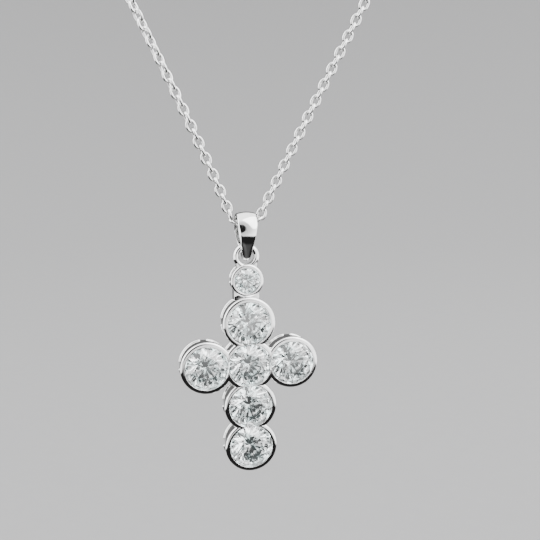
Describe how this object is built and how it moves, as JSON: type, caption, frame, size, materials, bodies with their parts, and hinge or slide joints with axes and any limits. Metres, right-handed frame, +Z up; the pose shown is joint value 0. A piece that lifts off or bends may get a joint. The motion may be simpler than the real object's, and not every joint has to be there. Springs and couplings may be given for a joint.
{
  "type": "cross pendant necklace",
  "caption": "Cross pendant of bezel-set round brilliants in polished white metal, hanging by a bail on a fine cable chain that closes in a ring clasp.",
  "frame": {"origin": "the middle of the clasp at the nape, where the necklace hangs", "axes": "+Z is up, -Y is the front, towards which the cross faces, and +X is the viewer's right"},
  "size_m": [0.1145, 0.0869, 0.1678],
  "materials": {
    "white_metal": "polished white precious metal",
    "chain_metal": "polished white precious metal",
    "crystal": "clear colourless cut stone"
  },
  "bodies": {
    "necklace": {"chain": "chain_metal", "clasp": "white_metal"},
    "bail": {"bail": "white_metal"},
    "cross": {"setting": "white_metal", "stone_top": "crystal", "stone_upper": "crystal", "stone_left": "crystal", "stone_centre": "crystal", "stone_right": "crystal", "stone_lower": "crystal", "stone_foot": "crystal"}
  },
  "joints": [
    {"name": "bail_swing", "type": "hinge", "parent": "necklace", "child": "bail", "pos_m": [0, -0.085, -0.14], "axis": [1, 0, 0], "range_deg": [-90, 90]},
    {"name": "cross_swing", "type": "hinge", "parent": "bail", "child": "cross", "pos_m": [0, -0.085, -0.14235], "axis": [1, 0, 0], "range_deg": [-45, 45]}
  ]
}
